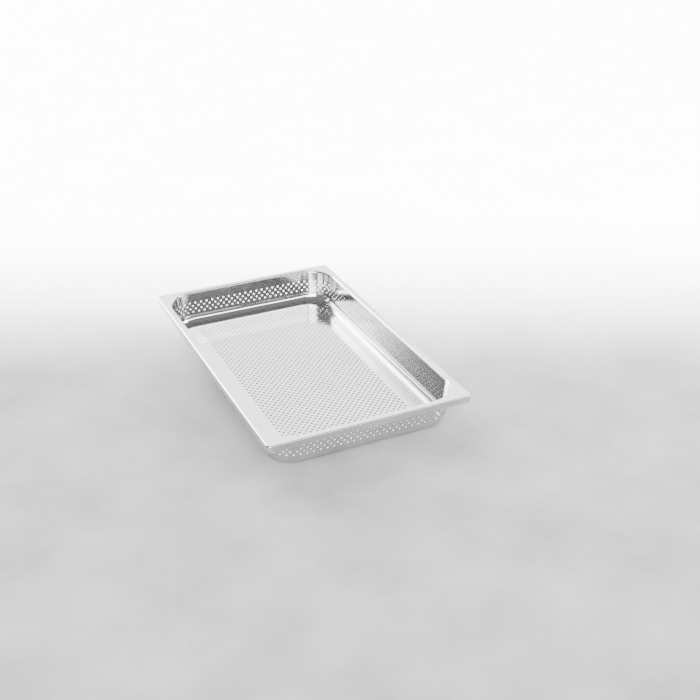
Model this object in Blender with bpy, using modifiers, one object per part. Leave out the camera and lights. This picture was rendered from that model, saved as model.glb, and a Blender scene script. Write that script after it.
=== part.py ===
"""Perforated bakery tray of the gastronorm 1/1 size, pressed from one stainless steel sheet.

The tray is a single deep-drawn piece: a flat floor, drafted walls that grow out of it through a
round foot, and a flat rim whose outer edge is turned down as a skirt. Its section is the same all
round, and only the corner radius changes: it is large on the walls and small on the rim's outline.

Frame: metres, +Z up, the tray's long side along Y. The origin is the centre of the floor's
underside, so that the tray stands on the plane Z = 0.
"""

import math

import bmesh
import bpy

MM = 0.001

# Outline of the rim, over the outer faces of the skirt.
RIM_WIDTH = 325.0 * MM
RIM_LENGTH = 530.0 * MM
RIM_CORNER_RADIUS = 8.0 * MM

# Heights and sheet.
DEPTH = 55.0 * MM
SHEET = 0.8 * MM
SKIRT_DROP = 10.0 * MM

# Mouth: the line where the wall's face would meet the rim's top without the round lip.
FLANGE = 12.0 * MM
MOUTH_CORNER_RADIUS = 48.0 * MM
WALL_DRAFT = 6.0 * MM

# Bend radii, on the side of the sheet that holds the food.
FOOT_RADIUS = 15.0 * MM
LIP_RADIUS = 3.0 * MM
EDGE_RADIUS = 2.0 * MM

# Facets of the bends and of each corner.
FOOT_STEPS = 7
LIP_STEPS = 4
EDGE_STEPS = 3
CORNER_STEPS = 11

STEEL_COLOR = (0.62, 0.62, 0.63, 1.0)
STEEL_ROUGHNESS = 0.28
STEEL_METALLIC = 1.0


def clear_scene():
    """Remove every object that the file starts with."""
    for item in list(bpy.data.objects):
        bpy.data.objects.remove(item, do_unlink=True)


def steel_material():
    """Return the satin stainless steel of the sheet."""
    material = bpy.data.materials.new("stainless_steel")
    material.use_nodes = True
    shader = material.node_tree.nodes["Principled BSDF"]
    shader.inputs["Base Color"].default_value = STEEL_COLOR
    shader.inputs["Roughness"].default_value = STEEL_ROUGHNESS
    shader.inputs["Metallic"].default_value = STEEL_METALLIC
    return material


def wall_lean():
    """Return the angle by which the walls lean outwards from the vertical."""
    return math.atan2(WALL_DRAFT, DEPTH - SHEET)


def wall_inset(height):
    """Return how far inside the rim's outline the wall's inner face lies at a height."""
    return FLANGE + (DEPTH - height) * math.tan(wall_lean())


def arc(centre, radius, start, end, steps):
    """Return the points of an arc in the section, where an angle of 0 points into the tray."""
    points = []
    for step in range(steps + 1):
        angle = start + (end - start) * step / steps
        points.append((centre[0] + radius * math.cos(angle), centre[1] + radius * math.sin(angle)))
    return points


def foot_arc():
    """Return the bend from the floor into the wall, as (inset, height) points."""
    lean = wall_lean()
    height = SHEET + FOOT_RADIUS
    centre = (wall_inset(height) + FOOT_RADIUS / math.cos(lean), height)
    return arc(centre, FOOT_RADIUS, -math.pi / 2, -math.pi + lean, FOOT_STEPS)


def lip_arc():
    """Return the bend from the wall over into the flat rim, as (inset, height) points."""
    lean = wall_lean()
    height = DEPTH - LIP_RADIUS
    centre = (wall_inset(height) - LIP_RADIUS / math.cos(lean), height)
    return arc(centre, LIP_RADIUS, lean, math.pi / 2, LIP_STEPS)


def edge_arc():
    """Return the bend from the flat rim down into the skirt, as (inset, height) points."""
    centre = (EDGE_RADIUS, DEPTH - EDGE_RADIUS)
    return arc(centre, EDGE_RADIUS, math.pi / 2, math.pi, EDGE_STEPS)


def rounded_rectangle(inset, height, corner_radius):
    """Return one closed ring of points round the tray, anticlockwise seen from above."""
    half_width = RIM_WIDTH / 2 - inset
    half_length = RIM_LENGTH / 2 - inset
    ring = []
    for quarter, (side_x, side_y) in enumerate(((1, 1), (-1, 1), (-1, -1), (1, -1))):
        centre_x = side_x * (half_width - corner_radius)
        centre_y = side_y * (half_length - corner_radius)
        for step in range(CORNER_STEPS + 1):
            angle = (quarter + step / CORNER_STEPS) * math.pi / 2
            x = centre_x + corner_radius * math.cos(angle)
            y = centre_y + corner_radius * math.sin(angle)
            ring.append((x, y, height))
    return ring


def section_rings():
    """Return the rings from the floor's edge, up the wall and over the rim, to the skirt's edge.

    The rings of the foot, wall and lip are parallel to the mouth, and those of the rim's edge and
    skirt to the rim's outline. The flat rim is the loft between the two.
    """
    rings = []
    for inset, height in foot_arc() + lip_arc():
        rings.append(rounded_rectangle(inset, height, MOUTH_CORNER_RADIUS + FLANGE - inset))
    for inset, height in edge_arc() + [(0.0, DEPTH - SKIRT_DROP)]:
        rings.append(rounded_rectangle(inset, height, RIM_CORNER_RADIUS - inset))
    return rings


def sheet_surface():
    """Return the open surface of the sheet's food side, its faces pointing up and out."""
    mesh = bpy.data.meshes.new("tray_pan")
    surface = bmesh.new()
    rings = [[surface.verts.new(point) for point in ring] for ring in section_rings()]
    surface.faces.new(rings[0])
    for inner, outer in zip(rings, rings[1:]):
        for index in range(len(inner)):
            following = (index + 1) % len(inner)
            surface.faces.new((inner[index], outer[index], outer[following], inner[following]))
    surface.to_mesh(mesh)
    surface.free()
    return mesh


def build_tray_pan(collection):
    """Build the tray: the food-side surface, thickened downwards and outwards by the sheet."""
    pan = bpy.data.objects.new("tray_pan", sheet_surface())
    collection.objects.link(pan)
    pan.data.materials.append(steel_material())
    thickness = pan.modifiers.new("sheet", "SOLIDIFY")
    thickness.thickness = SHEET
    thickness.offset = -1.0
    thickness.use_even_offset = True
    thickness.use_quality_normals = True
    pan.data.shade_smooth()
    pan.data.set_sharp_from_angle(angle=math.radians(40.0))
    return pan


def main():
    """Build the tray in a collection of its own."""
    clear_scene()
    collection = bpy.data.collections.new("perforated_tray")
    bpy.context.scene.collection.children.link(collection)
    build_tray_pan(collection)


main()
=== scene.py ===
"""Looks of a perforated stainless steel bakery tray of the gastronorm 1/1 size.

The tray is one pressing: a perforated floor, a round foot, drafted walls with four rows of holes,
a round lip, a flat rim and a turned-down skirt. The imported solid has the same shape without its
holes, and this script makes the perforated sheet that stands for it, with every hole cut through
the sheet's thickness.

Lengths are in metres, +Z is up and the tray's long side lies along Y.
"""

import logging
import math
from dataclasses import dataclass, field
from enum import Enum

import bpy
import numpy as np
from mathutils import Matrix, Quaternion, Vector


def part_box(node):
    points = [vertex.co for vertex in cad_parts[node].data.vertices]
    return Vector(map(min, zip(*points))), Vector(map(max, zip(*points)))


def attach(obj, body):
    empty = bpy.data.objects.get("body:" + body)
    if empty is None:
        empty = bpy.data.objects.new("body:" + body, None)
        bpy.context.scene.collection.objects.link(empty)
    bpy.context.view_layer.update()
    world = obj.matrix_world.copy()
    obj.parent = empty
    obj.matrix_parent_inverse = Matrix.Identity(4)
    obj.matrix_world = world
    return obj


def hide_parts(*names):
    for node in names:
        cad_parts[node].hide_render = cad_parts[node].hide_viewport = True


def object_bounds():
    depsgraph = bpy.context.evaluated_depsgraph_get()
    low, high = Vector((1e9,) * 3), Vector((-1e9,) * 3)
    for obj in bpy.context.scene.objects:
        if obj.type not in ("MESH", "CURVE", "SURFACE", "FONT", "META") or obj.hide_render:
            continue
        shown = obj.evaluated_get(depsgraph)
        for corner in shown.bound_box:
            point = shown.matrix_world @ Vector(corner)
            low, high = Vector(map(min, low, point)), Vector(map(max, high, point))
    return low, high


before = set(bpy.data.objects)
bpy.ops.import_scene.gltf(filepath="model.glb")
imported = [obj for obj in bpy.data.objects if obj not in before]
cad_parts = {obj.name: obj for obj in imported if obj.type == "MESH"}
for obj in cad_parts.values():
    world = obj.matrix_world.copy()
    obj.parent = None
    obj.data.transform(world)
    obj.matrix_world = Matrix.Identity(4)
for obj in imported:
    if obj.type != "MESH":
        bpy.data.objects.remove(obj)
CAD_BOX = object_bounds()

LOG = logging.getLogger("perforated_tray")

MM = 0.001
PAN_NODE = "tray_pan"


class Grain(Enum):
    """How the steel's fine rolling grain is drawn out, as its fineness along X, Y and Z."""

    LENGTHWISE = (900.0, 24.0, 900.0)


# --------------------------------------------------------------------------------------------
# Shape of the sheet
# --------------------------------------------------------------------------------------------


@dataclass
class Profile:
    """A run of points across the sheet's section, from inside to outside.

    Attributes:
        inset: Distance of each point inside the rim's outline.
        height: Height of each point above the surface that the tray stands on.
        out: Outward part of the food side's unit normal at each point.
        up: Upward part of that normal.
    """

    inset: np.ndarray
    height: np.ndarray
    out: np.ndarray
    up: np.ndarray


@dataclass
class TraySection:
    """The section that the tray has all round, with its sizes in metres.

    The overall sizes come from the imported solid's box, and the others are those of the pressing.
    """

    half_width: float
    half_length: float
    depth: float
    sheet: float = 0.8 * MM
    flange: float = 12.0 * MM
    mouth_corner_radius: float = 48.0 * MM
    rim_corner_radius: float = 8.0 * MM
    wall_draft: float = 6.0 * MM
    foot_radius: float = 15.0 * MM
    lip_radius: float = 3.0 * MM
    edge_radius: float = 2.0 * MM
    skirt_drop: float = 10.0 * MM
    foot_steps: int = 8
    lip_steps: int = 6
    edge_steps: int = 5

    @property
    def lean(self) -> float:
        """The angle by which the walls lean out from the vertical."""
        return math.atan2(self.wall_draft, self.depth - self.sheet)

    def wall_inset(self, height: np.ndarray | float) -> np.ndarray | float:
        """Return how far inside the rim's outline the wall's food side lies at a height."""
        return self.flange + (self.depth - height) * math.tan(self.lean)

    def bend(
        self, inset: float, height: float, radius: float, span: tuple[float, float], turn: float, steps: int
    ) -> Profile:
        """Return a bend of the section as an arc.

        A point is the centre plus the radius times the cosine and sine of an angle that runs
        evenly over the span. The food side's normal points away from the centre where turn is 1,
        and towards it where turn is -1.

        Args:
            inset: Inset of the arc's centre.
            height: Height of the arc's centre.
            radius: Radius of the food side's arc.
            span: First and last angle. An angle of 0 points into the tray and a quarter turn up.
            turn: Side on which the food side's normal lies.
            steps: Number of facets.

        Returns:
            The profile of the bend.
        """
        angle = np.linspace(span[0], span[1], steps + 1)
        into, up = np.cos(angle), np.sin(angle)
        return Profile(inset + radius * into, height + radius * up, -turn * into, turn * up)

    def foot(self) -> Profile:
        """Return the bend from the floor into the wall."""
        height = self.sheet + self.foot_radius
        inset = self.wall_inset(height) + self.foot_radius / math.cos(self.lean)
        span = (-math.pi / 2, -math.pi + self.lean)
        return self.bend(inset, height, self.foot_radius, span, -1.0, self.foot_steps)

    def wall(self, heights: np.ndarray) -> Profile:
        """Return points of the straight wall at the given heights."""
        flat = np.ones_like(heights)
        return Profile(
            self.wall_inset(heights), heights, -math.cos(self.lean) * flat, math.sin(self.lean) * flat
        )

    def lip(self) -> Profile:
        """Return the bend from the wall over into the flat rim."""
        height = self.depth - self.lip_radius
        inset = self.wall_inset(height) - self.lip_radius / math.cos(self.lean)
        return self.bend(inset, height, self.lip_radius, (self.lean, math.pi / 2), 1.0, self.lip_steps)

    def rim_edge(self) -> Profile:
        """Return the bend from the flat rim down into the skirt, with the skirt's lower edge."""
        height = self.depth - self.edge_radius
        span = (math.pi / 2, math.pi)
        arc = self.bend(self.edge_radius, height, self.edge_radius, span, 1.0, self.edge_steps)
        return Profile(
            np.append(arc.inset, 0.0),
            np.append(arc.height, self.depth - self.skirt_drop),
            np.append(arc.out, 1.0),
            np.append(arc.up, 0.0),
        )


@dataclass
class Perimeter:
    """The way round the tray, in columns that run clockwise seen from above.

    Every ring of the tray is a rounded rectangle. Its corners' centres stay fixed while its
    corner radius changes with the inset, so one column count fits all rings.

    Attributes:
        section: The tray's section.
        side_columns: Columns along each short side's straight stretch.
        long_columns: Columns along each long side's straight stretch.
        corner_columns: Columns round each corner.
    """

    section: TraySection
    side_columns: int = 39
    long_columns: int = 77
    corner_columns: int = 14

    @property
    def columns(self) -> int:
        """Number of columns all the way round."""
        return 2 * (self.side_columns + self.long_columns + 2 * self.corner_columns)

    def knots(self) -> np.ndarray:
        """Return the column at which each straight stretch and each corner begins."""
        side, corner, long = self.side_columns, self.corner_columns, self.long_columns
        return np.cumsum([0, side, corner, long, corner, side, corner, long, corner])

    def place(
        self, column: np.ndarray, inset: np.ndarray, outline_radius: float
    ) -> tuple[np.ndarray, np.ndarray]:
        """Return points on the rings, and the outward directions there.

        Round the tray, the corner's centre and the outward angle change in turn, each evenly with
        the column. A point is the centre plus the corner radius times the outward direction.

        Args:
            column: Column of each point, whole or not.
            inset: Inset of each point from the rim's outline.
            outline_radius: Corner radius that the ring would have at an inset of 0.

        Returns:
            The points and the unit directions, each as an array of X and Y.
        """
        a = self.section.half_width - outline_radius
        b = self.section.half_length - outline_radius
        knots = self.knots()
        turned = np.mod(column, self.columns)
        centre_x = np.interp(turned, knots, [-a, a, a, a, a, -a, -a, -a, -a])
        centre_y = np.interp(turned, knots, [b, b, b, -b, -b, -b, -b, b, b])
        angle = np.interp(turned, knots, np.radians([90, 90, 0, 0, -90, -90, -180, -180, -270]))
        outward = np.stack([np.cos(angle), np.sin(angle)], axis=-1)
        radius = (outline_radius - inset)[..., None]
        return np.stack([centre_x, centre_y], axis=-1) + radius * outward, outward

    def column_width(self, column: np.ndarray, radius: float) -> np.ndarray:
        """Return how wide a column is on the ring of a given corner radius, at each column."""
        section = self.section
        outline = section.mouth_corner_radius + section.flange
        short = 2 * (section.half_width - outline) / self.side_columns
        long = 2 * (section.half_length - outline) / self.long_columns
        corner = radius * math.pi / 2 / self.corner_columns
        stretch = np.searchsorted(self.knots(), np.mod(column, self.columns), side="right") - 1
        return np.array([short, corner, long, corner, short, corner, long, corner])[stretch]


@dataclass
class HoleLattice:
    """A staggered field of round holes: each hole sits in a diamond between four lattice points.

    A lattice point is named by its column and row. Points with an even sum are hole centres and
    those with an odd sum are corners of the diamonds round the holes.

    Attributes:
        columns: Number of columns that hold holes.
        rows: Number of rows that hold holes.
        wraps: Whether the last column meets the first.
        sides: Number of facets round a hole.
    """

    columns: int
    rows: int
    wraps: bool
    sides: int = 12

    @property
    def first_column(self) -> int:
        """The lattice's first column: a border column, unless the field wraps round."""
        return 0 if self.wraps else -1

    @property
    def column_count(self) -> int:
        """Number of lattice columns, with the border columns where there are any."""
        return self.columns if self.wraps else self.columns + 2

    @property
    def row_count(self) -> int:
        """Number of lattice rows, with the two border rows."""
        return self.rows + 2

    def index(self, column: np.ndarray, row: np.ndarray) -> np.ndarray:
        """Return the vertex number of lattice points."""
        turned = np.mod(column - self.first_column, self.column_count) if self.wraps else column + 1
        return turned * self.row_count + row + 1

    def points(self) -> tuple[np.ndarray, np.ndarray]:
        """Return the column and row of every lattice point, in the order of their numbers."""
        column, row = np.meshgrid(
            np.arange(self.column_count) + self.first_column, np.arange(self.row_count) - 1, indexing="ij"
        )
        return column.ravel(), row.ravel()

    def holes(self) -> tuple[np.ndarray, np.ndarray]:
        """Return the column and row of every hole."""
        column, row = np.meshgrid(np.arange(self.columns), np.arange(self.rows), indexing="ij")
        even = (column + row) % 2 == 0
        return column[even], row[even]

    def hole_numbers(self) -> np.ndarray:
        """Return the vertex numbers of each hole's ring, one row for each hole."""
        count = len(self.holes()[0])
        first = self.column_count * self.row_count
        return first + np.arange(count * self.sides).reshape(count, self.sides)

    def diamond_faces(self) -> np.ndarray:
        """Return the triangles between each hole's ring and the corners of its diamond.

        In each quarter, four triangles join two corners and the quarter's four ring points.
        """
        column, row = self.holes()
        ring = self.hole_numbers()
        corners = np.stack(
            [
                self.index(column + 1, row),
                self.index(column, row + 1),
                self.index(column - 1, row),
                self.index(column, row - 1),
            ],
            axis=1,
        )
        quarter = self.sides // 4
        faces = []
        for turn in range(4):
            near, far = corners[:, turn], corners[:, (turn + 1) % 4]
            arc = [ring[:, (turn * quarter + step) % self.sides] for step in range(quarter + 1)]
            middle = quarter // 2
            for step in range(quarter):
                corner = near if step < middle else far
                faces.append(np.stack([arc[step], corner, arc[step + 1]], axis=1))
            faces.append(np.stack([arc[middle], near, far], axis=1))
        return np.concatenate(faces)

    def border_faces(self) -> np.ndarray:
        """Return the triangles that fill the notches between the outer diamonds and the border.

        Each diamond corner next to a border line is joined to the three border points beside it.
        """
        last_row = self.rows
        columns = np.arange(self.first_column, self.first_column + self.column_count)
        faces = []
        for row, line, turn in ((0, -1, 1), (last_row - 1, last_row, -1)):
            apex = columns[(columns + row) % 2 == 1]
            for first, second in ((apex - 1, apex), (apex, apex + 1)):
                inside = (first >= columns[0]) & (second <= columns[-1]) | self.wraps
                beside = np.full_like(apex, line)
                triple = [self.index(first, beside), self.index(second, beside)]
                triple.append(self.index(apex, np.full_like(apex, row)))
                faces.append(np.stack(triple[::turn], axis=1)[inside])
        if not self.wraps:
            rows = np.arange(self.rows)
            for column, line, turn in ((0, -1, -1), (self.columns - 1, self.columns, 1)):
                apex = rows[(rows + column) % 2 == 1]
                beside = np.full_like(apex, line)
                for first, second in ((apex - 1, apex), (apex, apex + 1)):
                    triple = [self.index(beside, first), self.index(beside, second)]
                    triple.append(self.index(np.full_like(apex, column), apex))
                    faces.append(np.stack(triple[::turn], axis=1))
        return np.concatenate(faces)

    def border_loop(self) -> np.ndarray:
        """Return the border's vertex numbers in order, clockwise, for a field that doesn't wrap."""
        across = np.arange(-1, self.columns)
        along = np.arange(-1, self.rows)
        top = self.index(across, np.full_like(across, self.rows))
        right = self.index(np.full_like(along, self.columns), along[::-1] + 1)
        bottom = self.index(across[::-1] + 1, np.full_like(across, -1))
        left = self.index(np.full_like(along, -1), along)
        return np.concatenate([top, right, bottom, left])


def loft_quads(rings: np.ndarray, closed_on: int) -> np.ndarray:
    """Return the quads between neighbouring rings of vertex numbers.

    Args:
        rings: Vertex numbers, one row for each ring, from inside to outside.
        closed_on: Number of columns after which a ring closes.

    Returns:
        The quads, turned so that a clockwise ring's food side faces up or inwards.
    """
    following = np.mod(np.arange(closed_on) + 1, closed_on)
    low, high = rings[:-1], rings[1:]
    return np.stack([low, low[:, following], high[:, following], high], axis=-1).reshape(-1, 4)


def zip_loops(
    inner: np.ndarray, inner_turn: np.ndarray, outer: np.ndarray, outer_turn: np.ndarray
) -> np.ndarray:
    """Return the triangles that fill the flat band between two clockwise loops.

    Both loops are walked together in the order of their turns. Each step along one loop makes a
    triangle with the point last reached on the other.

    Args:
        inner: Vertex numbers of the inner loop.
        inner_turn: How far round each inner point is, from 0 to a full turn.
        outer: Vertex numbers of the outer loop.
        outer_turn: How far round each outer point is.

    Returns:
        The triangles, all facing up.
    """
    inner_order, outer_order = np.argsort(inner_turn), np.argsort(outer_turn)
    a, a_turn = inner[inner_order], inner_turn[inner_order]
    b, b_turn = outer[outer_order], outer_turn[outer_order]
    b_reached = b[np.searchsorted(b_turn, a_turn, side="right") - 1]
    a_reached = a[np.searchsorted(a_turn, b_turn, side="left") - 1]
    inner_faces = np.stack([np.roll(a, 1), a, b_reached], axis=1)
    outer_faces = np.stack([b, np.roll(b, 1), a_reached], axis=1)
    return np.concatenate([inner_faces, outer_faces])


@dataclass
class PerforatedPan:
    """The tray's sheet, with its two hole fields cut right through.

    Attributes:
        section: The tray's section.
        perimeter: The columns round the tray.
        pitch: Distance between neighbouring columns or rows of the floor's staggered holes.
        floor_hole: Diameter of the floor's holes.
        wall_hole: Diameter of the walls' holes.
        floor_columns: Columns of holes across the floor.
        floor_rows: Rows of holes along the floor.
        wall_rows: Rows of holes up the walls.
        wall_row_pitch: Distance between the walls' rows.
        lowest_row: Height of the walls' lowest row of holes above the floor's underside.
        band_margin: Distance from the outer rows to the borders of the walls' hole band.
    """

    section: TraySection
    perimeter: Perimeter
    pitch: float = 5.25 * MM
    floor_hole: float = 4.1 * MM
    wall_hole: float = 3.3 * MM
    floor_columns: int = 40
    floor_rows: int = 84
    wall_rows: int = 4
    wall_row_pitch: float = 5.4 * MM
    lowest_row: float = 19.0 * MM
    band_margin: float = 2.75 * MM
    points: list[np.ndarray] = field(default_factory=list)
    normals: list[np.ndarray] = field(default_factory=list)
    rims: list[np.ndarray] = field(default_factory=list)
    faces: list[np.ndarray] = field(default_factory=list)
    loops: list[np.ndarray] = field(default_factory=list)

    def add_points(self, points: np.ndarray, normals: np.ndarray, rim: np.ndarray | float = 0.0) -> int:
        """Add points of the food side.

        Args:
            points: The points.
            normals: The food side's unit normals there.
            rim: 1 on the rim of a hole and 0 elsewhere.

        Returns:
            The number of the first new point.
        """
        first = sum(len(group) for group in self.points)
        self.points.append(points.reshape(-1, 3))
        self.normals.append(np.broadcast_to(normals, points.shape).reshape(-1, 3))
        self.rims.append(np.broadcast_to(rim, points.shape[:-1]).ravel().astype(float))
        return first

    def on_rings(
        self, column: np.ndarray, profile: Profile, outline_radius: float
    ) -> tuple[np.ndarray, np.ndarray]:
        """Return the points and normals of a profile carried round the tray.

        Args:
            column: Column of each point, in an array that matches the profile's.
            profile: The section's points and normals.
            outline_radius: Corner radius of the ring family at an inset of 0.

        Returns:
            The points and the unit normals.
        """
        flat, outward = self.perimeter.place(column, profile.inset, outline_radius)
        points = np.concatenate([flat, profile.height[..., None]], axis=-1)
        normals = np.concatenate([outward * profile.out[..., None], profile.up[..., None]], axis=-1)
        return points, normals

    def add_rings(self, profile: Profile, outline_radius: float) -> np.ndarray:
        """Add one ring for each point of a profile, and return the rings' vertex numbers."""
        columns = np.arange(self.perimeter.columns)
        shape = (len(profile.height), len(columns))
        spread = Profile(*(np.broadcast_to(part[:, None], shape) for part in vars(profile).values()))
        points, normals = self.on_rings(np.broadcast_to(columns, shape), spread, outline_radius)
        return self.add_points(points, normals) + np.arange(shape[0] * shape[1]).reshape(shape)

    def floor_field(self) -> tuple[np.ndarray, np.ndarray]:
        """Add the floor's field of holes.

        A lattice point lies at its column and row times the pitch, from the field's middle. A
        ring's point is the hole's centre plus its radius times the cosine and sine of its angle.

        Returns:
            The border's vertex numbers and its X and Y coordinates.
        """
        lattice = HoleLattice(self.floor_columns, self.floor_rows, wraps=False)
        middle = np.array([(lattice.columns - 1) / 2, (lattice.rows - 1) / 2])
        flat = (np.stack(lattice.points(), axis=-1) - middle) * self.pitch
        centres = (np.stack(lattice.holes(), axis=-1) - middle) * self.pitch
        angle = np.arange(lattice.sides) * 2 * math.pi / lattice.sides
        circle = np.stack([np.cos(angle), np.sin(angle)], axis=-1) * self.floor_hole / 2
        rings = (centres[:, None, :] + circle).reshape(-1, 2)
        both = np.concatenate([flat, rings])
        points = np.column_stack([both, np.full(len(both), self.section.sheet)])
        rim = np.concatenate([np.zeros(len(flat)), np.ones(len(rings))])
        first = self.add_points(points, np.array([0.0, 0.0, 1.0]), rim)
        self.faces.append(first + lattice.diamond_faces())
        self.faces.append(first + lattice.border_faces())
        self.loops.append(first + lattice.hole_numbers())
        border = lattice.border_loop()
        return first + border, both[border]

    def wall_band(self) -> np.ndarray:
        """Add the band of holes round the walls.

        A lattice point lies at its column round the tray and its row's height on the wall. A
        ring's point is moved from the hole's centre by the radius times the cosine, measured
        along the column, and by the radius times the sine in height.

        Returns:
            The vertex numbers of the band's lower and upper borders, one row each.
        """
        lattice = HoleLattice(self.perimeter.columns, self.wall_rows, wraps=True)
        outline = self.section.mouth_corner_radius + self.section.flange
        column, row = lattice.points()
        height = self.lowest_row + row * self.wall_row_pitch
        last_height = self.lowest_row + (self.wall_rows - 1) * self.wall_row_pitch
        height = np.clip(height, self.lowest_row - self.band_margin, last_height + self.band_margin)
        hole_column, hole_row = lattice.holes()
        centre_height = self.lowest_row + hole_row * self.wall_row_pitch
        width = self.perimeter.column_width(hole_column, outline - self.section.wall_inset(last_height))
        angle = np.arange(lattice.sides) * 2 * math.pi / lattice.sides
        radius = self.wall_hole / 2
        ring_column = (hole_column[:, None] + radius * np.cos(angle) / width[:, None]).ravel()
        ring_height = (centre_height[:, None] + radius * np.sin(angle)).ravel()
        heights = np.concatenate([height, ring_height])
        columns = np.concatenate([column, ring_column])
        points, normals = self.on_rings(columns, self.section.wall(heights), outline)
        rim = np.concatenate([np.zeros(len(height)), np.ones(len(ring_height))])
        first = self.add_points(points, normals, rim)
        self.faces.append(first + lattice.diamond_faces())
        self.faces.append(first + lattice.border_faces())
        self.loops.append(first + lattice.hole_numbers())
        around = np.arange(lattice.columns)
        borders = [lattice.index(around, np.full_like(around, line)) for line in (-1, self.wall_rows)]
        return first + np.stack(borders)

    def lay_out(self) -> None:
        """Make the whole food side, from the floor's field out to the skirt's lower edge."""
        section, count = self.section, self.perimeter.columns
        outline = section.mouth_corner_radius + section.flange
        border, border_flat = self.floor_field()
        foot = self.add_rings(section.foot(), outline)
        band = self.wall_band()
        lip = self.add_rings(section.lip(), outline)
        edge = self.add_rings(section.rim_edge(), section.rim_corner_radius)
        foot_flat = np.concatenate(self.points)[foot[0], :2]
        reach = np.abs(border_flat).max(axis=0)
        turns = [
            np.mod(-np.arctan2(flat[:, 1] / reach[1], flat[:, 0] / reach[0]), 2 * math.pi)
            for flat in (border_flat, foot_flat)
        ]
        self.faces.append(zip_loops(border, turns[0], foot[0], turns[1]))
        self.faces.append(loft_quads(np.concatenate([foot, band[:1]]), count))
        self.faces.append(loft_quads(np.concatenate([band[1:], lip, edge]), count))
        self.loops.append(edge[-1:])

    def build(self) -> bpy.types.Object:
        """Build the closed sheet as a mesh object.

        The under side is the food side moved back along its normals by the sheet's thickness, with
        its faces turned over. Short walls through the sheet close every hole and the skirt's edge.

        Returns:
            The tray's object.
        """
        self.lay_out()
        food = np.concatenate(self.points)
        normals = np.concatenate(self.normals)
        count = len(food)
        points = np.concatenate([food, food - self.section.sheet * normals])
        sides = self.faces + [faces[:, ::-1] + count for faces in self.faces]
        walls = []
        for group in self.loops:
            after = np.roll(group, -1, axis=1)
            walls.append(np.stack([group, after, after + count, group + count], axis=-1).reshape(-1, 4))
        both = np.concatenate([normals, -normals])
        corners = [both[faces.ravel()] for faces in sides]
        corners += [np.repeat(facing(points, faces), 4, axis=0) for faces in walls]
        rim = np.tile(np.concatenate(self.rims), 2)
        return sheet_object("perforated_pan", points, sides + walls, np.concatenate(corners), rim)


def facing(points: np.ndarray, faces: np.ndarray) -> np.ndarray:
    """Return the unit normal of each face, as the cross product of its first and last edge."""
    along = points[faces[:, 1]] - points[faces[:, 0]]
    through = points[faces[:, -1]] - points[faces[:, 0]]
    normal = np.cross(along, through)
    return normal / np.linalg.norm(normal, axis=1, keepdims=True)


def sheet_object(
    name: str, points: np.ndarray, groups: list[np.ndarray], corners: np.ndarray, rim: np.ndarray
) -> bpy.types.Object:
    """Return a mesh object with given normals and a mask of the holes' rims.

    Points that no face uses are left out, and the rest are numbered anew.

    Args:
        name: Name of the object and its mesh.
        points: All points.
        groups: Faces as arrays of point numbers, in groups with equally many corners.
        corners: The normal of every corner of every face, in order.
        rim: The mask's value at every point.

    Returns:
        The object, linked to the scene.
    """
    used = np.unique(np.concatenate([faces.ravel() for faces in groups]))
    numbers = np.zeros(len(points), int)
    numbers[used] = np.arange(len(used))
    polygons = [polygon for faces in groups for polygon in numbers[faces].tolist()]
    mesh = bpy.data.meshes.new(name)
    mesh.from_pydata(points[used].tolist(), [], polygons)
    mask = mesh.attributes.new("hole_rim", "FLOAT", "POINT")
    mask.data.foreach_set("value", rim[used])
    mesh.shade_smooth()
    mesh.normals_split_custom_set(corners.tolist())
    sheet = bpy.data.objects.new(name, mesh)
    bpy.context.scene.collection.objects.link(sheet)
    return sheet


# --------------------------------------------------------------------------------------------
# Finish of the steel
# --------------------------------------------------------------------------------------------


class GroupBuilder:
    """A shader node group under construction.

    Args:
        name: Name of the group.
        inputs: Name and default value of each input: a number, or three for a vector.
        outputs: Names of the outputs, which are single values.
    """

    def __init__(self, name: str, inputs: dict[str, float | tuple], outputs: tuple[str, ...]) -> None:
        """Open the group and make its sockets."""
        self.tree = bpy.data.node_groups.new(name, "ShaderNodeTree")
        for label, default in inputs.items():
            kind = "NodeSocketVector" if isinstance(default, tuple) else "NodeSocketFloat"
            socket = self.tree.interface.new_socket(label, in_out="INPUT", socket_type=kind)
            socket.default_value = default
        for label in outputs:
            self.tree.interface.new_socket(label, in_out="OUTPUT", socket_type="NodeSocketFloat")
        self.given = self.tree.nodes.new("NodeGroupInput")
        self.result = self.tree.nodes.new("NodeGroupOutput")

    def add(self, kind: str, settings: dict | None = None, **inputs: object) -> bpy.types.Node:
        """Add a node to the group; see add_node."""
        return add_node(self.tree, kind, settings, **inputs)

    def finish(self, **outputs: bpy.types.NodeSocket) -> bpy.types.NodeTree:
        """Link the outputs by name and return the group."""
        for label, socket in outputs.items():
            self.tree.links.new(socket, self.result.inputs[label])
        return self.tree


def add_node(
    tree: bpy.types.NodeTree, kind: str, settings: dict | None = None, **inputs: object
) -> bpy.types.Node:
    """Add a shader node.

    Args:
        tree: The tree that takes the node.
        kind: The node's type, without its common first part.
        settings: The node's own properties.
        **inputs: A value or a socket for each input. An input is named by its label with
            underscores for spaces, or by an underscore and its number.

    Returns:
        The node.
    """
    node = tree.nodes.new("ShaderNode" + kind)
    for label, value in (settings or {}).items():
        setattr(node, label, value)
    for label, value in inputs.items():
        key = int(label[1:]) if label.startswith("_") else label.replace("_", " ")
        if isinstance(value, bpy.types.NodeSocket):
            tree.links.new(value, node.inputs[key])
        else:
            node.inputs[key].default_value = value
    return node


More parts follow.
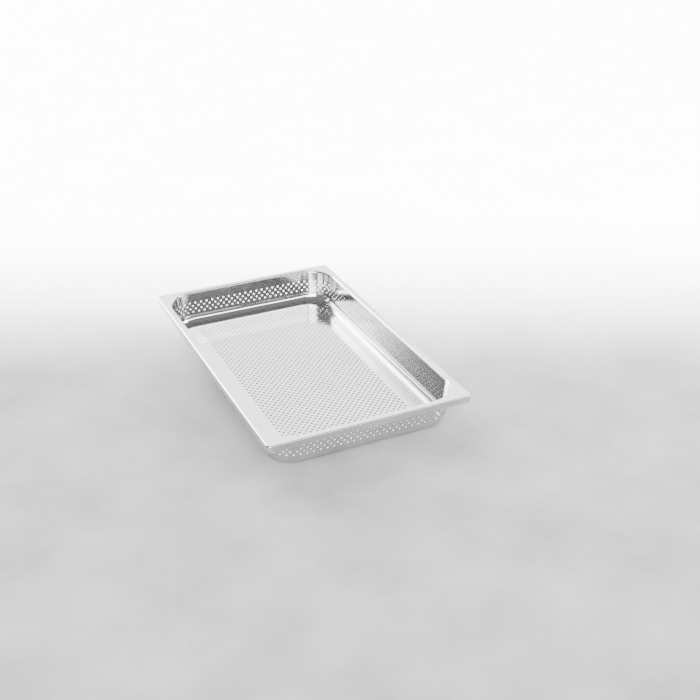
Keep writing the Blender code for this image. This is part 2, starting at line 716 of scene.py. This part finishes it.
def grain_group() -> bpy.types.NodeTree:
    """Return the group that draws a fine noise out along one direction, as rolled steel shows."""
    group = GroupBuilder("rolling_grain", {"Stretch": Grain.LENGTHWISE.value}, ("Grain",))
    place = group.add("TexCoord").outputs["Object"]
    drawn = group.add("VectorMath", {"operation": "MULTIPLY"}, _0=place, _1=group.given.outputs["Stretch"])
    noise = group.add(
        "TexNoise", None, Vector=drawn.outputs["Vector"], Scale=1.0, Detail=3.0, Roughness=0.6
    )
    return group.finish(Grain=noise.outputs["Fac"])


def handling_group() -> bpy.types.NodeTree:
    """Return the group for handling marks: broad wipe marks, and fine scratches in two directions.

    The wipe marks are a soft noise. A scratch is where a strongly stretched noise passes its
    middle value, so that it is a thin line.
    """
    inputs = {"Mark Scale": 16.0, "Scratch Width": 0.012}
    group = GroupBuilder("handling_marks", inputs, ("Marks", "Scratches"))
    place = group.add("TexCoord").outputs["Object"]
    marks = group.add(
        "TexNoise", None, Vector=place, Scale=group.given.outputs["Mark Scale"], Detail=4.0, Distortion=0.8
    )
    lines = []
    for turn, stretch in ((0.35, (160.0, 9.0, 40.0)), (-0.8, (120.0, 7.0, 40.0))):
        turned = group.add("Mapping", None, Vector=place, Rotation=(0.0, 0.0, turn), Scale=stretch)
        noise = group.add("TexNoise", None, Vector=turned.outputs["Vector"], Scale=1.0, Detail=1.0)
        off = group.add("Math", {"operation": "SUBTRACT"}, _0=noise.outputs["Fac"], _1=0.5)
        size = group.add("Math", {"operation": "ABSOLUTE"}, _0=off.outputs[0])
        line = group.add(
            "MapRange",
            None,
            Value=size.outputs[0],
            From_Min=0.0,
            From_Max=group.given.outputs["Scratch Width"],
            To_Min=1.0,
            To_Max=0.0,
        )
        lines.append(line.outputs["Result"])
    both = group.add("Math", {"operation": "MAXIMUM"}, _0=lines[0], _1=lines[1])
    return group.finish(Marks=marks.outputs["Fac"], Scratches=both.outputs[0])


def waviness_group() -> bpy.types.NodeTree:
    """Return the group for the slight unevenness that drawing leaves in the sheet."""
    group = GroupBuilder("drawn_waviness", {"Broad Scale": 9.0, "Fine Scale": 45.0}, ("Height",))
    place = group.add("TexCoord").outputs["Object"]
    broad = group.add("TexNoise", None, Vector=place, Scale=group.given.outputs["Broad Scale"], Detail=1.0)
    fine = group.add("TexNoise", None, Vector=place, Scale=group.given.outputs["Fine Scale"], Detail=2.0)
    small = group.add("Math", {"operation": "MULTIPLY"}, _0=fine.outputs["Fac"], _1=0.12)
    both = group.add("Math", {"operation": "ADD"}, _0=broad.outputs["Fac"], _1=small.outputs[0])
    return group.finish(Height=both.outputs[0])


@dataclass(frozen=True)
class SteelFinish:
    """The satin finish of the drawn sheet.

    Attributes:
        bright: Colour of the clean steel.
        dull: Colour where wipe marks lie.
        rim: Near-black colour of the holes' walls and rims: the sheared metal's dullness together with
            painted shade inside the holes.
        rim_narrowing: Power that keeps the rims' colour close to the holes.
        roughness: Roughness of the clean steel.
        mark_roughness: What the wipe marks add to the roughness.
        grain_roughness: What the rolling grain adds to the roughness.
        grain: Direction of the rolling grain.
        wave_depth: Depth of the drawn sheet's waviness.
        grain_strength: Strength of the grain's relief.
        grain_depth: Depth of the grain's relief.
        scratch_strength: Strength of the scratches' relief.
        scratch_depth: Depth of the scratches' relief.
    """

    bright: tuple[float, float, float, float] = (0.60, 0.60, 0.61, 1.0)
    dull: tuple[float, float, float, float] = (0.54, 0.54, 0.55, 1.0)
    # Near black: painted shade inside the holes, on top of the sheared edge's dullness.
    rim: tuple[float, float, float, float] = (0.10, 0.10, 0.105, 1.0)
    rim_narrowing: float = 6.0
    roughness: float = 0.09
    mark_roughness: float = 0.04
    grain_roughness: float = 0.02
    grain: Grain = Grain.LENGTHWISE
    wave_depth: float = 0.05 * MM
    grain_strength: float = 0.08
    grain_depth: float = 0.02 * MM
    scratch_strength: float = 0.25
    scratch_depth: float = 0.003 * MM

    def material(self) -> bpy.types.Material:
        """Return the material, with the three groups placed in it."""
        material = bpy.data.materials.new("satin_stainless")
        material.use_nodes = True
        tree = material.node_tree
        shader = tree.nodes["Principled BSDF"]
        shader.inputs["Metallic"].default_value = 1.0
        grain = add_node(tree, "Group", {"node_tree": grain_group()}, Stretch=self.grain.value)
        marks = add_node(tree, "Group", {"node_tree": handling_group()})
        waves = add_node(tree, "Group", {"node_tree": waviness_group()})
        rim = add_node(tree, "Attribute", {"attribute_name": "hole_rim"})
        tree.links.new(self.color(tree, marks, rim), shader.inputs["Base Color"])
        tree.links.new(self.rough(tree, marks, grain), shader.inputs["Roughness"])
        tree.links.new(self.relief(tree, waves, grain, marks), shader.inputs["Normal"])
        return material

    def color(
        self, tree: bpy.types.NodeTree, marks: bpy.types.Node, rim: bpy.types.Node
    ) -> bpy.types.NodeSocket:
        """Return the colour: bright steel, duller where it was wiped, and near black at the holes' walls
        and rims, which is painted shade together with the sheared edge.
        """
        wiped = add_node(
            tree,
            "Mix",
            {"data_type": "RGBA"},
            _0=marks.outputs["Marks"],
            _6=self.bright,
            _7=self.dull,
        )
        # Painted shade: the holes' walls and rims are darkened to the near-black rim colour, which fades
        # out away from the holes.
        near = add_node(
            tree, "Math", {"operation": "POWER"}, _0=rim.outputs["Fac"], _1=self.rim_narrowing
        )
        hole_shaded = add_node(
            tree, "Mix", {"data_type": "RGBA"}, _0=near.outputs[0], _6=wiped.outputs[2], _7=self.rim
        )
        return hole_shaded.outputs[2]

    def rough(
        self, tree: bpy.types.NodeTree, marks: bpy.types.Node, grain: bpy.types.Node
    ) -> bpy.types.NodeSocket:
        """Return the roughness: the clean steel's, plus the wipe marks', plus the grain's."""
        base = add_node(
            tree,
            "Math",
            {"operation": "MULTIPLY_ADD"},
            _0=marks.outputs["Marks"],
            _1=self.mark_roughness,
            _2=self.roughness,
        )
        return add_node(
            tree,
            "Math",
            {"operation": "MULTIPLY_ADD"},
            _0=grain.outputs["Grain"],
            _1=self.grain_roughness,
            _2=base.outputs[0],
        ).outputs[0]

    def relief(
        self,
        tree: bpy.types.NodeTree,
        waves: bpy.types.Node,
        grain: bpy.types.Node,
        marks: bpy.types.Node,
    ) -> bpy.types.NodeSocket:
        """Return the normal: the drawn waviness, then the grain, then the scratches."""
        broad = add_node(tree, "Bump", None, Height=waves.outputs["Height"], Distance=self.wave_depth)
        fine = add_node(
            tree,
            "Bump",
            None,
            Strength=self.grain_strength,
            Height=grain.outputs["Grain"],
            Distance=self.grain_depth,
            Normal=broad.outputs[0],
        )
        return add_node(
            tree,
            "Bump",
            {"invert": True},
            Strength=self.scratch_strength,
            Height=marks.outputs["Scratches"],
            Distance=self.scratch_depth,
            Normal=fine.outputs[0],
        ).outputs[0]


# --------------------------------------------------------------------------------------------
# Stage
# --------------------------------------------------------------------------------------------


def heading(azimuth: float, elevation: float) -> Vector:
    """Return the unit direction at an azimuth, clockwise from +Y, and an elevation, in degrees."""
    turn, rise = math.radians(azimuth), math.radians(elevation)
    return Vector((math.sin(turn) * math.cos(rise), math.cos(turn) * math.cos(rise), math.sin(rise)))


@dataclass(frozen=True)
class SkyCard:
    """A soft-edged white card in the distance, which lights the tray and shows in its steel.

    Attributes:
        azimuth: Direction of its middle, in degrees clockwise from +Y.
        elevation: Its middle's elevation, in degrees.
        half_width: Half its width, for a distance of 1.
        half_height: Half its height, for a distance of 1.
        softness: Half the width of its soft border.
        strength: Its brightness.
        roll: The angle that it leans over to the left, in degrees.
    """

    azimuth: float
    elevation: float
    half_width: float
    half_height: float
    softness: float
    strength: float
    roll: float = 0.0

    def axes(self) -> dict[str, Vector]:
        """Return the card's three directions: to its middle, along its width and up its height."""
        forward = heading(self.azimuth, self.elevation)
        level = forward.cross(Vector((0.0, 0.0, 1.0))).normalized()
        turn = Quaternion(forward, -math.radians(self.roll))
        side = turn @ level
        return {"Forward": forward, "Side": side, "Up": side.cross(forward)}


@dataclass(frozen=True)
class Softbox:
    """A soft studio lamp that faces the tray.

    Attributes:
        name: Name of the lamp.
        azimuth: Direction that it stands in, in degrees clockwise from +Y.
        elevation: Its elevation, in degrees.
        distance: Distance from the tray.
        size: Width and height of its face.
        power: Its power in watts.
    """

    name: str
    azimuth: float
    elevation: float
    distance: float
    size: tuple[float, float]
    power: float

    def build(self) -> None:
        """Add the lamp to the scene."""
        lamp = bpy.data.lights.new(self.name, "AREA")
        lamp.shape = "RECTANGLE"
        lamp.size, lamp.size_y = self.size
        lamp.energy = self.power
        holder = bpy.data.objects.new(self.name, lamp)
        away = heading(self.azimuth, self.elevation)
        holder.location = away * self.distance
        holder.rotation_euler = away.to_track_quat("Z", "Y").to_euler()
        bpy.context.scene.collection.objects.link(holder)


@dataclass
class Studio:
    """The plain pale floor, the soft light and the camera.

    Attributes:
        floor_half: Half the side of the square floor.
        floor_dark: Colour of the floor's darker patches.
        floor_light: Colour of its lighter patches.
        glow_from: Where the floor begins to glow, along the camera's heading.
        glow_to: Where its glow is full.
        glow_strength: Brightness of the full glow.
        camera_azimuth: Direction that the camera looks in, in degrees clockwise from +Y.
        camera_drop: The camera's angle below the horizon, in degrees.
        distance: Distance from the camera to the point that it faces.
        aim_offset: That point, from the middle of the tray's box.
        lens: Focal length for a sensor 36 mm wide.
        surrounding_glow: Brightness of the surroundings outside the cards.
        cards: The white cards round the tray.
        lamps: The lamps.
    """

    floor_half: float = 12.0
    floor_dark: tuple[float, float, float, float] = (0.17, 0.173, 0.177, 1.0)
    floor_light: tuple[float, float, float, float] = (0.65, 0.652, 0.655, 1.0)
    glow_from: float = -0.10
    glow_to: float = 0.75
    glow_strength: float = 12.0
    camera_azimuth: float = 25.39
    camera_drop: float = 28.45
    distance: float = 1.773
    aim_offset: tuple[float, float, float] = (0.0813, -0.0139, 0.0)
    lens: float = 55.34
    surrounding_glow: float = 0.40
    cards: tuple[SkyCard, ...] = (
        # Behind on the left, leaning over: its edge is where the right wall turns from light to dark.
        SkyCard(-17.1, 20.8, 0.52, 0.185, 0.012, 15.0, roll=45.5),
        # The large one behind, which shows in the floor and the rim.
        SkyCard(30.0, 15.0, 0.92, 0.55, 0.08, 4.6),
        # Long and narrow, in front: the bright line along the back foot.
        SkyCard(157.0, 40.0, 0.80, 0.09, 0.03, 12.0),
        # Tall, at the front left: the right wall towards its back corner.
        SkyCard(221.0, 20.0, 0.28, 0.42, 0.04, 14.0),
        # High behind on the left: the floor and foot at the front right.
        SkyCard(-20.5, 45.4, 0.27, 0.19, 0.04, 4.5, roll=45.5),
        # High in front: the floor at the back right.
        SkyCard(203.0, 47.0, 0.22, 0.12, 0.04, 8.0),
    )
    lamps: tuple[Softbox, ...] = (Softbox("key", 105.0, 34.0, 2.2, (0.9, 0.9), 45.0),)

    def build(self) -> None:
        """Add the floor, the surroundings, the lamps and the camera."""
        self.floor()
        self.surroundings()
        for lamp in self.lamps:
            lamp.build()
        self.camera()

    def floor(self) -> None:
        """Add the floor."""
        half = self.floor_half
        mesh = bpy.data.meshes.new("studio_floor")
        corners = [(-half, -half, 0.0), (half, -half, 0.0), (half, half, 0.0), (-half, half, 0.0)]
        mesh.from_pydata(corners, [], [(0, 1, 2, 3)])
        floor = bpy.data.objects.new("studio_floor", mesh)
        bpy.context.scene.collection.objects.link(floor)
        mesh.materials.append(self.floor_material())

    def floor_material(self) -> bpy.types.Material:
        """Return the floor's material: pale mottled grey that glows white towards the back."""
        material = bpy.data.materials.new("pale_floor")
        material.use_nodes = True
        tree = material.node_tree
        shader = tree.nodes["Principled BSDF"]
        shader.inputs["Roughness"].default_value = 0.6
        shader.inputs["Specular IOR Level"].default_value = 0.25
        place = add_node(tree, "TexCoord").outputs["Object"]
        away = heading(self.camera_azimuth, 0.0)
        along = add_node(tree, "VectorMath", {"operation": "DOT_PRODUCT"}, _0=place, _1=away)
        mottle = add_node(tree, "TexNoise", None, Vector=place, Scale=6.0, Detail=7.0, Roughness=0.62)
        color = add_node(
            tree,
            "Mix",
            {"data_type": "RGBA"},
            _0=mottle.outputs["Fac"],
            _6=self.floor_dark,
            _7=self.floor_light,
        )
        tree.links.new(color.outputs[2], shader.inputs["Base Color"])
        glow = add_node(
            tree,
            "MapRange",
            {"interpolation_type": "SMOOTHERSTEP"},
            Value=along.outputs["Value"],
            From_Min=self.glow_from,
            From_Max=self.glow_to,
            To_Min=0.0,
            To_Max=self.glow_strength,
        )
        shader.inputs["Emission Color"].default_value = (1.0, 1.0, 1.0, 1.0)
        tree.links.new(glow.outputs["Result"], shader.inputs["Emission Strength"])
        return material

    def card_group(self) -> bpy.types.NodeTree:
        """Return the node group that masks one card.

        The place on the card is how far a direction lies along the card's width and up its
        height, each divided by how far it lies towards the card's middle.
        """
        inputs = {
            "Direction": (0.0, 0.0, 0.0),
            "Forward": (0.0, 1.0, 0.0),
            "Side": (1.0, 0.0, 0.0),
            "Up": (0.0, 0.0, 1.0),
            "Half Width": 1.0,
            "Half Height": 1.0,
            "Softness": 0.1,
        }
        group = GroupBuilder("soft_card", inputs, ("Mask",))
        given = group.given.outputs
        dots = [
            group.add("VectorMath", {"operation": "DOT_PRODUCT"}, _0=given["Direction"], _1=given[axis])
            for axis in ("Forward", "Side", "Up")
        ]
        ahead = group.add("Math", {"operation": "GREATER_THAN"}, _0=dots[0].outputs["Value"], _1=0.001)
        mask = ahead.outputs[0]
        for dot, half in zip(dots[1:], ("Half Width", "Half Height")):
            place = group.add(
                "Math", {"operation": "DIVIDE"}, _0=dot.outputs["Value"], _1=dots[0].outputs["Value"]
            )
            size = group.add("Math", {"operation": "ABSOLUTE"}, _0=place.outputs[0])
            inner = group.add("Math", {"operation": "SUBTRACT"}, _0=given[half], _1=given["Softness"])
            outer = group.add("Math", {"operation": "ADD"}, _0=given[half], _1=given["Softness"])
            edge = group.add(
                "MapRange",
                {"interpolation_type": "SMOOTHSTEP"},
                Value=size.outputs[0],
                From_Min=inner.outputs[0],
                From_Max=outer.outputs[0],
                To_Min=1.0,
                To_Max=0.0,
            )
            mask = group.add(
                "Math", {"operation": "MULTIPLY"}, _0=mask, _1=edge.outputs["Result"]
            ).outputs[0]
        return group.finish(Mask=mask)

    def surroundings(self) -> None:
        """Light the scene with a weak glow from all round and with the cards."""
        world = bpy.data.worlds.new("studio")
        bpy.context.scene.world = world
        world.use_nodes = True
        tree = world.node_tree
        direction = add_node(tree, "TexCoord").outputs["Generated"]
        group = self.card_group()
        total = add_node(tree, "Value").outputs[0]
        total.default_value = self.surrounding_glow
        for card in self.cards:
            mask = add_node(
                tree,
                "Group",
                {"node_tree": group},
                Direction=direction,
                Half_Width=card.half_width,
                Half_Height=card.half_height,
                Softness=card.softness,
                **card.axes(),
            )
            total = add_node(
                tree,
                "Math",
                {"operation": "MULTIPLY_ADD"},
                _0=mask.outputs["Mask"],
                _1=card.strength,
                _2=total,
            ).outputs[0]
        sky = tree.nodes["Background"]
        sky.inputs["Color"].default_value = (1.0, 1.0, 1.0, 1.0)
        tree.links.new(total, sky.inputs["Strength"])

    def camera(self) -> None:
        """Add the camera and make it the scene's."""
        low, high = CAD_BOX
        ahead = heading(self.camera_azimuth, -self.camera_drop)
        lens = bpy.data.cameras.new("camera")
        lens.lens = self.lens
        lens.sensor_width = 36.0
        holder = bpy.data.objects.new("camera", lens)
        holder.location = (low + high) / 2 + Vector(self.aim_offset) - ahead * self.distance
        holder.rotation_euler = ahead.to_track_quat("-Z", "Y").to_euler()
        bpy.context.scene.collection.objects.link(holder)
        bpy.context.scene.camera = holder


# --------------------------------------------------------------------------------------------
# Making it all
# --------------------------------------------------------------------------------------------


def make_pan() -> bpy.types.Object:
    """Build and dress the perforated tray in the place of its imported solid."""
    low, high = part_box(PAN_NODE)
    size = high - low
    section = TraySection(half_width=size.x / 2, half_length=size.y / 2, depth=size.z)
    pan = PerforatedPan(section, Perimeter(section)).build()
    pan.data.materials.append(SteelFinish().material())
    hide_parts(PAN_NODE)
    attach(pan, "root")
    LOG.info("perforated_pan: %d faces", len(pan.data.polygons))
    return pan


def main() -> None:
    """Build the tray and its stage."""
    logging.basicConfig(level=logging.INFO, format="%(name)s: %(message)s")
    make_pan()
    Studio().build()


if __name__ == "__main__":
    main()
